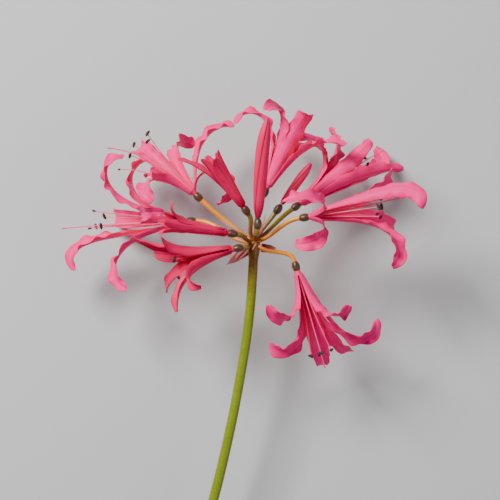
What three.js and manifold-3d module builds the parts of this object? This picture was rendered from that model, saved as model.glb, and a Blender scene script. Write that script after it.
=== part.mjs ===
// A cut nerine: one leafless scape carrying an umbel of eleven flowers and buds,
// laid on its back. Millimetres, +Z up, the floor at z = 0.
import * as THREE from "three";
import Module from "manifold-3d";
import { mergeVertices } from "three/addons/utils/BufferGeometryUtils.js";

const wasm = await Module();
wasm.setup();

const DEG = Math.PI / 180;

// ---------------------------------------------------------------- main sizes
const GAP = 0.3; // clear space left between neighbouring pieces
const SLIVER = 0.04; // detail smaller than this is merged where solids join

const SCAPE_RADIUS = 2.3;
const SCAPE_CUT_Y = -250; // the cut end, measured down from the hub
const HEAD_RADIUS = 3.0; // swollen top of the scape, where every pedicel starts

const PEDICEL_RADIUS = 1.05;
const OVARY_LENGTH = 5;
const OVARY_RADIUS = 2.1;

const BASE_RING_RADIUS = 2.6; // short ring that joins the six tepals
const BASE_RING_HEIGHT = 1.5;
const TEPAL_ROOT_RADIUS = 1.6;
const TEPAL_THICKNESS = 0.9;
const TEPAL_CHANNEL = 0.09; // depth of the lengthwise channel, per width
const TEPAL_STEPS = 9;

const STAMEN_DISC_RADIUS = 0.95;
const STAMEN_DISC_HEIGHT = 0.6;
const FILAMENT_ROOT_RADIUS = 0.72;
const FILAMENT_RADIUS = 0.34;
const STYLE_RADIUS = 0.36;
const ANTHER_LENGTH = 3.4;
const ANTHER_RADIUS = 0.75;

// How the cut stem lies: nose-up pitch and sideways roll at rest.
const LAY_PITCH_DEG = 9.64;
const LAY_ROLL_DEG = 2.06;

// ------------------------------------------------------------------ materials
function surface(colour, roughness) {
  return new THREE.MeshStandardMaterial({ color: colour, roughness, metalness: 0 });
}

const pinkPetal = surface(0xee2a7b, 0.5);
const crimsonPetal = surface(0xd8104f, 0.45);
const salmonThread = surface(0xf08a86, 0.5);
const darkGreen = surface(0x4d3a1c, 0.5);
const goldenStalk = surface(0xd79a1e, 0.45);
const oliveStalk = surface(0x7d7420, 0.45);
const scapeGreen = surface(0x9aa32a, 0.4);
const dryBract = surface(0xb5655c, 0.8);

// -------------------------------------------------------------- basic solids
// Positive when the triangles face outwards.
function signedVolume(points, index) {
  let sum = 0;
  for (let i = 0; i < index.length; i += 3) {
    const [a, b, c] = [points[index[i]], points[index[i + 1]], points[index[i + 2]]];
    sum += a.dot(new THREE.Vector3().crossVectors(b, c));
  }
  return sum;
}

// Closes a row of equal rings of points into one solid skin.
function skinOver(rings) {
  const count = rings[0].length;
  const points = rings.flat();
  const index = [];
  for (let r = 0; r < rings.length - 1; r += 1) {
    for (let i = 0; i < count; i += 1) {
      const a = r * count + i;
      const b = r * count + ((i + 1) % count);
      index.push(a, b, a + count, b, b + count, a + count);
    }
  }
  const last = (rings.length - 1) * count;
  for (let i = 1; i < count - 1; i += 1) {
    index.push(0, i + 1, i);
    index.push(last, last + i, last + i + 1);
  }
  if (signedVolume(points, index) < 0) index.reverse();
  const geometry = new THREE.BufferGeometry();
  geometry.setAttribute(
    "position",
    new THREE.Float32BufferAttribute(points.flatMap((p) => p.toArray()), 3)
  );
  geometry.setIndex(index);
  geometry.computeVertexNormals();
  return geometry;
}

// A round stalk of even thickness along a curve.
function stalkAlong(curve, radius, steps, sides) {
  const outline = new THREE.Shape();
  outline.absarc(0, 0, radius, 0, Math.PI * 2, false);
  return new THREE.ExtrudeGeometry(outline, {
    steps,
    curveSegments: sides,
    extrudePath: curve
  });
}

// A turned form standing on +Z from a profile of [radius, height] pairs.
function turned(profile, sides) {
  const points = profile.map(([radius, height]) => new THREE.Vector2(radius, height));
  return new THREE.LatheGeometry(points, sides).rotateX(Math.PI / 2);
}

function toManifold(geometry) {
  const bare = geometry.clone();
  bare.deleteAttribute("normal");
  bare.deleteAttribute("uv");
  const welded = mergeVertices(bare, 1e-4);
  if (!welded.index) welded.setIndex([...Array(welded.attributes.position.count).keys()]);
  const mesh = new wasm.Mesh({
    numProp: 3,
    vertProperties: new Float32Array(welded.attributes.position.array),
    triVerts: new Uint32Array(welded.index.array)
  });
  mesh.merge();
  return new wasm.Manifold(mesh);
}

// Joins several solids that grow out of each other into one.
function joined(geometries) {
  const whole = wasm.Manifold.union(geometries.map(toManifold)).simplify(SLIVER);
  const mesh = whole.getMesh();
  const geometry = new THREE.BufferGeometry();
  geometry.setAttribute("position", new THREE.Float32BufferAttribute(mesh.vertProperties, 3));
  geometry.setIndex([...mesh.triVerts]);
  geometry.computeVertexNormals();
  return geometry;
}

function piece(name, geometry, material, parent) {
  const mesh = new THREE.Mesh(geometry, material);
  mesh.name = name;
  parent.add(mesh);
  return mesh;
}

// ------------------------------------------------- curved parts of one flower
// A flower stands on its own +Z axis; +X faces up out of the lying plant.
// A limb leaves the axis by `flare` degrees, bends to `recurve` degrees by its
// tip (the larger `late`, the nearer the tip the bend comes), and its bearing
// round the axis starts at `turn` and moves on by `swing`.
function limbPath(limb, root, length, steps) {
  const fine = 4;
  const here = root.clone();
  const stations = [];
  for (let k = 0; k <= steps * fine; k += 1) {
    const s = k / (steps * fine);
    const tilt = (limb.flare + (limb.recurve - limb.flare) * s ** limb.late) * DEG;
    const bearing = (limb.turn + limb.swing * s * s) * DEG;
    const along = new THREE.Vector3(
      Math.sin(tilt) * Math.cos(bearing),
      Math.sin(tilt) * Math.sin(bearing),
      Math.cos(tilt)
    );
    if (k % fine === 0) {
      const across = new THREE.Vector3(-Math.sin(bearing), Math.cos(bearing), 0);
      across.applyAxisAngle(along, limb.twist * DEG * s * s);
      const inward = new THREE.Vector3().crossVectors(along, across);
      stations.push({ s, place: here.clone(), along, across, inward });
    }
    here.addScaledVector(along, length / (steps * fine));
  }
  return stations;
}

// Half-width of a tepal as a share of its widest, from narrow claw to blunt tip.
function tepalOutline(s) {
  const claw = 0.36 + 0.64 * THREE.MathUtils.smoothstep(s, 0.05, 0.62);
  const tip = Math.sqrt(Math.max(0, 1 - ((s - 0.68) / 0.335) ** 2));
  return s < 0.68 ? claw : Math.max(0.16, tip);
}

function tepalSolid(limb) {
  const bearing = limb.turn * DEG;
  const root = new THREE.Vector3(
    TEPAL_ROOT_RADIUS * Math.cos(bearing),
    TEPAL_ROOT_RADIUS * Math.sin(bearing),
    GAP + 0.5
  );
  const rings = limbPath(limb, root, limb.length, TEPAL_STEPS).map((at) => {
    const half = (limb.width / 2) * tepalOutline(at.s);
    const dip = -2 * half * TEPAL_CHANNEL;
    const thick = TEPAL_THICKNESS * (1 - 0.45 * at.s);
    const corner = (across, inward) =>
      at.place.clone().addScaledVector(at.across, across).addScaledVector(at.inward, inward);
    return [
      corner(-half, 0),
      corner(0, dip + thick / 2),
      corner(half, 0),
      corner(0, dip - thick / 2)
    ];
  });
  return skinOver(rings);
}

// Columns of a tepal row:
// [turn, length, width, flare, recurve, late, swing, twist]
function limbFromRow([turn, length, width, flare, recurve, late, swing = 0, twist = 0]) {
  return { turn, length, width, flare, recurve, late, swing, twist };
}

function perianthSolid(rows) {
  const ring = turned(
    [
      [0, GAP],
      [BASE_RING_RADIUS * 0.85, GAP],
      [BASE_RING_RADIUS, GAP + BASE_RING_HEIGHT],
      [0, GAP + BASE_RING_HEIGHT]
    ],
    12
  );
  return joined([ring, ...rows.map((row) => tepalSolid(limbFromRow(row)))]);
}

const STAMEN_DISC_Z = GAP + BASE_RING_HEIGHT + GAP;

function antherSolid(at) {
  // A short pod lying across the tip of its filament.
  const half = ANTHER_LENGTH / 2;
  const ringAt = (reach, radius) =>
    [0, 1, 2, 3].map((i) =>
      at.place
        .clone()
        .addScaledVector(at.across, reach)
        .addScaledVector(at.along, radius * Math.cos(i * 90 * DEG))
        .addScaledVector(at.inward, radius * Math.sin(i * 90 * DEG))
    );
  return skinOver([
    ringAt(-half, ANTHER_RADIUS * 0.4),
    ringAt(-half * 0.55, ANTHER_RADIUS),
    ringAt(half * 0.55, ANTHER_RADIUS),
    ringAt(half, ANTHER_RADIUS * 0.4)
  ]);
}

function threadAlong(stations, radius, sides) {
  const rings = stations.map((at) =>
    Array.from({ length: sides }, (_, i) => {
      const a = (i / sides) * 360 * DEG;
      return at.place
        .clone()
        .addScaledVector(at.across, radius * Math.cos(a))
        .addScaledVector(at.inward, radius * Math.sin(a));
    })
  );
  return skinOver(rings);
}

// Columns of a stamen row: [turn, length, flare, recurve, late, swing]
function stamenSolid(rows) {
  const disc = turned(
    [
      [0, STAMEN_DISC_Z],
      [STAMEN_DISC_RADIUS, STAMEN_DISC_Z],
      [STAMEN_DISC_RADIUS, STAMEN_DISC_Z + STAMEN_DISC_HEIGHT],
      [0, STAMEN_DISC_Z + STAMEN_DISC_HEIGHT]
    ],
    10
  );
  const solids = [disc];
  rows.forEach(([turn, length, flare, recurve, late, swing = 0]) => {
    const root = new THREE.Vector3(
      FILAMENT_ROOT_RADIUS * Math.cos(turn * DEG),
      FILAMENT_ROOT_RADIUS * Math.sin(turn * DEG),
      STAMEN_DISC_Z + STAMEN_DISC_HEIGHT * 0.5
    );
    const limb = { turn, flare, recurve, late, swing, twist: 0 };
    const path = limbPath(limb, root, length, 5);
    solids.push(threadAlong(path, FILAMENT_RADIUS, 3));
    solids.push(antherSolid(path[path.length - 1]));
  });
  return joined(solids);
}

function styleSolid([turn, length, flare, recurve, late, swing = 0]) {
  const root = new THREE.Vector3(0, 0, STAMEN_DISC_Z + STAMEN_DISC_HEIGHT + GAP);
  const limb = { turn, flare, recurve, late, swing, twist: 0 };
  return threadAlong(limbPath(limb, root, length, 7), STYLE_RADIUS, 5);
}

// --------------------------------------------------------- the lying plant
// Inside this group the hub is the origin, +Y runs up the stem and +Z faces
// out of the side that lies uppermost.
const plant = new THREE.Group();
plant.name = "plant";

// A group whose +Z is the flower's axis. `heading` is measured from +X towards
// +Y, `lean` raises the axis towards the upper side.
function flowerGroup(place, heading, lean) {
  const group = new THREE.Group();
  const axis = new THREE.Vector3(
    Math.cos(lean * DEG) * Math.cos(heading * DEG),
    Math.cos(lean * DEG) * Math.sin(heading * DEG),
    Math.sin(lean * DEG)
  );
  const up = new THREE.Vector3(0, 0, 1).addScaledVector(axis, -axis.z).normalize();
  const side = new THREE.Vector3().crossVectors(axis, up);
  group.quaternion.setFromRotationMatrix(new THREE.Matrix4().makeBasis(up, side, axis));
  group.position.set(...place);
  plant.add(group);
  return { group, axis };
}

// A pedicel from the head of the scape to the foot of its ovary.
function pedicelSolid(place, axis, start) {
  const from = new THREE.Vector3(...start).normalize();
  const foot = new THREE.Vector3(...place).addScaledVector(axis, -OVARY_LENGTH - GAP);
  const first = from.clone().multiplyScalar(HEAD_RADIUS + GAP + 0.35);
  const reach = first.distanceTo(foot);
  const curve = new THREE.CubicBezierCurve3(
    first,
    first.clone().addScaledVector(from, reach * 0.33),
    foot.clone().addScaledVector(axis, -reach * 0.33),
    foot
  );
  return stalkAlong(curve, PEDICEL_RADIUS, 8, 3);
}

function ovarySolid() {
  const profile = [[0, -OVARY_LENGTH]];
  for (const [height, share] of [
    [0, 0.5],
    [0.2, 0.72],
    [0.5, 1],
    [0.8, 0.95],
    [1, 0.7]
  ]) {
    profile.push([OVARY_RADIUS * share, -OVARY_LENGTH + OVARY_LENGTH * height]);
  }
  profile.push([0, 0]);
  return turned(profile, 8);
}

// A closed bud: six tepals still wrapped round each other into one spindle.
function budSolid(length, radius, hook) {
  const rings = [];
  const steps = 12;
  for (let k = 0; k <= steps; k += 1) {
    const s = k / steps;
    const swell = Math.sin(Math.PI * Math.min(1, 0.2 + 0.5 * s));
    const close = Math.sqrt(Math.max(0, 1 - (Math.max(0, s - 0.72) / 0.285) ** 2));
    const wide = radius * swell * Math.max(0.1, close);
    const ring = [];
    for (let i = 0; i < 12; i += 1) {
      const a = i * 30 * DEG + s * 60 * DEG;
      const ridge = 1 - 0.07 * (i % 2);
      ring.push(
        new THREE.Vector3(
          wide * ridge * Math.cos(a),
          wide * ridge * Math.sin(a) + hook * s ** 4,
          GAP + length * s
        )
      );
    }
    rings.push(ring);
  }
  return skinOver(rings);
}

function openFlower(letter, spec) {
  const { group, axis } = flowerGroup(spec.place, spec.heading, spec.lean);
  const stalk = pedicelSolid(spec.place, axis, spec.start);
  piece(`flower_${letter}_pedicel`, stalk, spec.stalk, plant);
  piece(`flower_${letter}_ovary`, ovarySolid(), darkGreen, group);
  piece(`flower_${letter}_perianth`, perianthSolid(spec.tepals), spec.petal, group);
  piece(`flower_${letter}_stamens`, stamenSolid(spec.stamens), salmonThread, group);
  if (spec.style) {
    piece(`flower_${letter}_style`, styleSolid(spec.style), salmonThread, group);
  }
}

function bud(letter, spec) {
  const { group, axis } = flowerGroup(spec.place, spec.heading, spec.lean);
  const stalk = pedicelSolid(spec.place, axis, spec.start);
  piece(`bud_${letter}_pedicel`, stalk, spec.stalk, plant);
  piece(`bud_${letter}_ovary`, ovarySolid(), darkGreen, group);
  piece(
    `bud_${letter}_tepals`,
    budSolid(spec.length, spec.radius, spec.hook),
    crimsonPetal,
    group
  );
}

// ------------------------------------------------------------------ the scape
function scapeSolid() {
  const line = new THREE.CatmullRomCurve3([
    new THREE.Vector3(0, -1, 0),
    new THREE.Vector3(-2, -32, 0),
    new THREE.Vector3(-6.5, -62, 0),
    new THREE.Vector3(-12.5, -92, 0),
    new THREE.Vector3(-20, -122, 0),
    new THREE.Vector3(-39, -186, 0),
    new THREE.Vector3(-60, SCAPE_CUT_Y, 0)
  ]);
  const stem = stalkAlong(line, SCAPE_RADIUS, 18, 6);
  const head = new THREE.SphereGeometry(HEAD_RADIUS, 12, 8);
  return joined([stem, head]);
}

piece("scape", scapeSolid(), scapeGreen, plant);

// Withered papery bracts round the head: two spathe valves and three threads.
function bractSolid({ place, heading, lean, length, width, flare, recurve, twist }) {
  const { group } = flowerGroup(place, heading, lean);
  const limb = { turn: 0, flare, recurve, late: 1.2, swing: 0, twist };
  const rings = limbPath(limb, new THREE.Vector3(), length, 6).map((at) => {
    const half = (width / 2) * (1 - 0.75 * at.s ** 2);
    const thick = Math.min(0.35, width / 2);
    return [
      [-half, 0],
      [0, thick],
      [half, 0],
      [0, -thick]
    ].map(([across, inward]) =>
      at.place.clone().addScaledVector(at.across, across).addScaledVector(at.inward, inward)
    );
  });
  return { geometry: skinOver(rings), group };
}

const BRACTS = {
  spathe_valve_1: {
    place: [3.2, -2.2, -2.4],
    heading: -8,
    lean: -12,
    length: 11,
    width: 4,
    flare: 10,
    recurve: -110,
    twist: 120
  },
  spathe_valve_2: {
    place: [-3.0, -3.2, -2.1],
    heading: 215,
    lean: -8,
    length: 14,
    width: 4.5,
    flare: 10,
    recurve: 80,
    twist: -100
  },
  bract_thread_1: {
    place: [2.4, 2.6, 2.9],
    heading: 74,
    lean: 25,
    length: 11,
    width: 0.8,
    flare: 5,
    recurve: -40,
    twist: 0
  },
  bract_thread_2: {
    place: [-3.1, 2.4, 2.4],
    heading: 146,
    lean: 10,
    length: 16,
    width: 0.9,
    flare: 20,
    recurve: -60,
    twist: 60
  },
  bract_thread_3: {
    place: [0.4, -1.2, 3.6],
    heading: 60,
    lean: 75,
    length: 8,
    width: 0.8,
    flare: -30,
    recurve: 130,
    twist: 40
  }
};

for (const [name, spec] of Object.entries(BRACTS)) {
  const { geometry, group } = bractSolid(spec);
  piece(name, geometry, dryBract, group);
}

// ------------------------------------------------------------- the flowers
openFlower("a", {
  place: [-27, 22.5, -6],
  heading: 136,
  lean: -5,
  start: [-0.75, 0.6, -0.35],
  stalk: goldenStalk,
  petal: pinkPetal,
  tepals: [
    [190, 46, 8, 9, 130, 3.4],
    [-40, 38, 8, 16, 200, 1.9, 0, -40],
    [150, 44, 9, 25, 170, 2.6],
    [115, 44, 8.5, 46, 150, 2.2, 0, 50],
    [72, 37, 7.5, 48, 310, 1.05, 0, 30],
    [-155, 33, 8, 16, 110, 2.5]
  ],
  stamens: [
    [-95, 34, 16, 45, 1.5],
    [-30, 33, 14, 50, 1.5],
    [-150, 34, 5, 16, 1.5],
    [30, 32, 10, 25, 1.5],
    [150, 30, 5, 10, 1.5]
  ],
  style: [-80, 42, 4, 40, 1.5]
});

openFlower("b", {
  place: [-31, 10, -13],
  heading: 180,
  lean: -8,
  start: [-0.95, 0.1, -0.5],
  stalk: goldenStalk,
  petal: pinkPetal,
  tepals: [
    [-80, 62, 9, 9, 190, 8, 0, -60],
    [118, 62, 8.5, 16, 265, 2.2, 0, 45],
    [78, 58, 8.5, 12, 210, 3.2, 0, 30],
    [-60, 55, 7.5, 14, 165, 2.2, 0, -60],
    [8, 43, 6.5, 16, 210, 1.7, 0, 50],
    [175, 50, 8.5, 14, 100, 2.5]
  ],
  stamens: [
    [-95, 42, 3, 4, 1.5],
    [-20, 36, 8, 12, 1.5],
    [-150, 40, 4, 8, 1.5],
    [80, 40, 4, 8, 1.5],
    [150, 36, 4, 8, 1.5]
  ],
  style: [-60, 54, 3, 6, 1.5]
});

openFlower("c", {
  place: [-12, 4.5, 13],
  heading: 171,
  lean: 22,
  start: [-0.75, 0.3, 0.75],
  stalk: oliveStalk,
  petal: crimsonPetal,
  tepals: [
    [0, 32, 3.4, 2, 30, 5],
    [60, 34, 3.4, 2, 120, 5],
    [120, 30, 3.4, 2, 35, 5],
    [180, 31, 3.4, 2, 40, 5],
    [-120, 31, 3.4, 2, 40, 5],
    [-60, 31, 3.4, 2, 30, 5]
  ],
  stamens: [
    [0, 22, 2, 5, 1.5],
    [120, 23, 2, 5, 1.5],
    [-120, 22, 2, 5, 1.5]
  ]
});

openFlower("d", {
  place: [-9.5, -2.8, 12],
  heading: 190,
  lean: 6,
  start: [-0.7, -0.5, 0.6],
  stalk: oliveStalk,
  petal: crimsonPetal,
  tepals: [
    [110, 44, 5.5, 6, 38, 2.2],
    [45, 36, 5.5, 6, 80, 2.8],
    [-85, 40, 5.5, 9, 95, 1.9, 0, -30],
    [-45, 36, 5, 8, 180, 2.6],
    [165, 38, 5.5, 7, 70, 2.5],
    [-140, 40, 5.5, 9, 100, 2.5]
  ],
  stamens: [
    [-60, 26, 8, 40, 1.5],
    [60, 24, 5, 10, 1.5],
    [180, 24, 5, 10, 1.5]
  ]
});

openFlower("e", {
  place: [-5, 16.5, 6],
  heading: 124,
  lean: 16,
  start: [-0.35, 0.9, 0.3],
  stalk: oliveStalk,
  petal: crimsonPetal,
  tepals: [
    [10, 27, 3.8, 4, 30, 3],
    [70, 28, 3.8, 4, 15, 3],
    [130, 26, 3.8, 4, 15, 3],
    [190, 27, 3.8, 4, 30, 3],
    [-110, 36, 3.8, 5, 50, 2],
    [-50, 29, 3.8, 4, 12, 3]
  ],
  stamens: [
    [0, 19, 3, 8, 1.5],
    [120, 18, 3, 8, 1.5],
    [-120, 19, 3, 8, 1.5]
  ]
});

bud("f", {
  place: [1.8, 10.8, 13],
  heading: 87,
  lean: 5,
  start: [0.15, 0.75, 0.75],
  stalk: oliveStalk,
  length: 45,
  radius: 3.1,
  hook: 2
});

openFlower("g", {
  place: [5.9, 25.2, -11],
  heading: 66,
  lean: -8,
  start: [0.15, 0.9, -0.5],
  stalk: oliveStalk,
  petal: pinkPetal,
  tepals: [
    [-50, 46, 8, 5, 195, 4.2, 0, -50],
    [-95, 49, 7.5, 9, 210, 2.8, 0, -40],
    [15, 41, 8.5, 7, 120, 6],
    [62, 44, 8, 14, 110, 2.2, 0, 50],
    [130, 39, 8.5, 12, 120, 3],
    [190, 42, 8.5, 12, 110, 3]
  ],
  stamens: [
    [0, 29, 3, 5, 1.5],
    [50, 28, 4, 8, 1.5],
    [115, 28, 3, 5, 1.5],
    [180, 27, 1, 2, 1.5],
    [-75, 29, 1, 2, 1.5]
  ],
  style: [90, 36, 0, 2, 1.5]
});

bud("h", {
  place: [12.2, 17.1, -1],
  heading: 54,
  lean: 0,
  start: [0.5, 0.85, 0.15],
  stalk: oliveStalk,
  length: 23,
  radius: 2.0,
  hook: 0
});

openFlower("i", {
  place: [21, 18, -13],
  heading: 36,
  lean: -14,
  start: [0.75, 0.6, -0.35],
  stalk: oliveStalk,
  petal: pinkPetal,
  tepals: [
    [-20, 43, 7, 5, 50, 3],
    [110, 58, 9, 12, 110, 5, 150, -90],
    [-88, 44, 8, 6, 200, 2.1, 0, -50],
    [180, 48, 8.5, 12, 110, 3],
    [-130, 48, 8.5, 12, 110, 3],
    [55, 50, 8.5, 8, 60, 3]
  ],
  stamens: [
    [0, 34, 2, 4, 1.5],
    [65, 34, 5, 6, 1.5],
    [120, 33, 5, 8, 1.5],
    [180, 34, 5, 10, 1.5],
    [-100, 34, 4, 8, 1.5]
  ],
  style: [80, 44, 2, 6, 1.5]
});

openFlower("j", {
  place: [25, 11.7, 6],
  heading: 8,
  lean: 8,
  start: [0.9, 0.35, 0.25],
  stalk: goldenStalk,
  petal: pinkPetal,
  tepals: [
    [-22, 42, 6.5, 30, 235, 1.2, 0, 40],
    [38, 31, 7, 24, 225, 1.1, 0, 50],
    [80, 55, 8, 8, 165, 3.2, 0, 60],
    [-60, 61, 9, 13, 125, 6, 150, -110],
    [-136, 46, 8, 12, 90, 3],
    [150, 46, 8, 12, 110, 3]
  ],
  stamens: [
    [0, 30, 8, 14, 1.5],
    [50, 30, 8, 12, 1.5],
    [110, 28, 4, 6, 1.5],
    [180, 30, 3, 6, 1.5],
    [-60, 31, 5, 7, 1.5]
  ],
  style: [-100, 40, 3, 6, 1.5]
});

openFlower("k", {
  place: [19.5, -13, 3],
  heading: -74,
  lean: 4,
  start: [0.75, -0.55, 0.3],
  stalk: goldenStalk,
  petal: pinkPetal,
  tepals: [
    [45, 38, 6.5, 10, 190, 1.9, 0, 50],
    [95, 47, 8, 5, 205, 3.6, 0, 60],
    [180, 48, 8.5, 6, 80, 3.5],
    [-40, 41, 6.5, 12, 140, 2, 0, -40],
    [-85, 55, 8, 14, 210, 4, 0, -60],
    [-140, 48, 8, 10, 85, 3]
  ],
  stamens: [
    [0, 36, 5, 10, 1.5],
    [60, 36, 5, 12, 1.5],
    [120, 36, 5, 10, 1.5],
    [180, 36, 5, 10, 1.5],
    [-60, 36, 5, 12, 1.5]
  ],
  style: [180, 42, 2, 10, 1.5]
});

// ------------------------------------------------------------ laid on a floor
const group = new THREE.Group();
group.name = "nerine";
group.add(plant);
plant.rotation.set(LAY_PITCH_DEG * DEG, LAY_ROLL_DEG * DEG, 0);
group.updateMatrixWorld(true);
const box = new THREE.Box3().setFromObject(group, true);
const middle = box.getCenter(new THREE.Vector3());
plant.position.set(-middle.x, -middle.y, -box.min.z);

export default group;
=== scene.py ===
# %% [markdown]
# A cut nerine lies on its back on a pale table: one bare stalk and a loose head of
# open, opening and closed flowers. The solid model gives every place and length.
# Each piece here is rebuilt smooth and thin over it, so this first cell loads the
# solid model.

# %% Load the solid model
import math

import bpy
import numpy as np
from mathutils import Matrix, Vector


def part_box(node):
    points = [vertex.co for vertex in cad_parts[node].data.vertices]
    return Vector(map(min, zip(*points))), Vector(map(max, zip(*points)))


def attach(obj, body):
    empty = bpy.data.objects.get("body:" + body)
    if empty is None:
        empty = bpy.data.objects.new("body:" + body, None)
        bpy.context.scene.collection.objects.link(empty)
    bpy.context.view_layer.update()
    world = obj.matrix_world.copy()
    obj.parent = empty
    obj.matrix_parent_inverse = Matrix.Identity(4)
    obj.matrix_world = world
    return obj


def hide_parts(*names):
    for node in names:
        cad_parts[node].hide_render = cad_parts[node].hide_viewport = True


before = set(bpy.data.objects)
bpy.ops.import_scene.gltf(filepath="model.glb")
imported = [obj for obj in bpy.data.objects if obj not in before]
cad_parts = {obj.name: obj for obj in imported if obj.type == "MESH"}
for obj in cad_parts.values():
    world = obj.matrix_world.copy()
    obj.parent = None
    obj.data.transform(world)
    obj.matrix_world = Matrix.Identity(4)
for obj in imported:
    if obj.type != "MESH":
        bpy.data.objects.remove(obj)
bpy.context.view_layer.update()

# %% [markdown]
# The flower was measured in a frame of its own, where the hub of the umbel is the
# origin, +Y runs up the stem and +Z faces the sky side, in millimetres. One matrix
# carries that frame to the table. The round head of the stalk is the topmost and
# foremost part of its node, so the hub is found from that node's box.

# %% Measures and the plant's frame
MM = 0.001
GAP = 0.3
HEAD_RADIUS = 3.0
SCAPE_RADIUS = 2.3
SCAPE_CUT_Y = -250
PEDICEL_RADIUS = 1.05
OVARY_LENGTH = 5
OVARY_RADIUS = 2.1
BASE_RING_RADIUS = 2.6
BASE_RING_HEIGHT = 1.5
TEPAL_ROOT_RADIUS = 1.6
STAMEN_DISC_Z = GAP + BASE_RING_HEIGHT + GAP
STAMEN_DISC_HEIGHT = 0.6
FILAMENT_ROOT_RADIUS = 0.72
FILAMENT_RADIUS = 0.34
STYLE_RADIUS = 0.36
ANTHER_LENGTH = 3.4
LAY_PITCH_DEG = 9.64
LAY_ROLL_DEG = 2.06


def plant_matrix():
    """Plant millimetres to metres on the table."""
    high = Vector(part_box("scape")[1])
    hub = high - Vector((HEAD_RADIUS,) * 3) * MM
    pitch = Matrix.Rotation(math.radians(LAY_PITCH_DEG), 4, "X")
    roll = Matrix.Rotation(math.radians(LAY_ROLL_DEG), 4, "Y")
    return Matrix.Translation(hub) @ pitch @ roll @ Matrix.Scale(MM, 4)


PLANT = plant_matrix()
print("hub, m:", [round(v, 4) for v in PLANT.translation])

# %% [markdown]
# Every petal, filament and style is one row of numbers. It leaves the flower's axis
# by `flare` degrees and bends to `recurve` degrees by its tip, later or sooner as
# `late` is large or small. `turn` is its bearing round the axis, `swing` how far that
# bearing wanders, and `twist` how far a blade has rolled over at its tip. The rows
# were set flower by flower.

# %% The flowers, buds and bracts
# Petal rows: turn, length, width, flare, recurve, late, swing, twist.
# Stamen and style rows: turn, length, flare, recurve. Threads all bend equally late.
THREAD_LATE = 1.5

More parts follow.
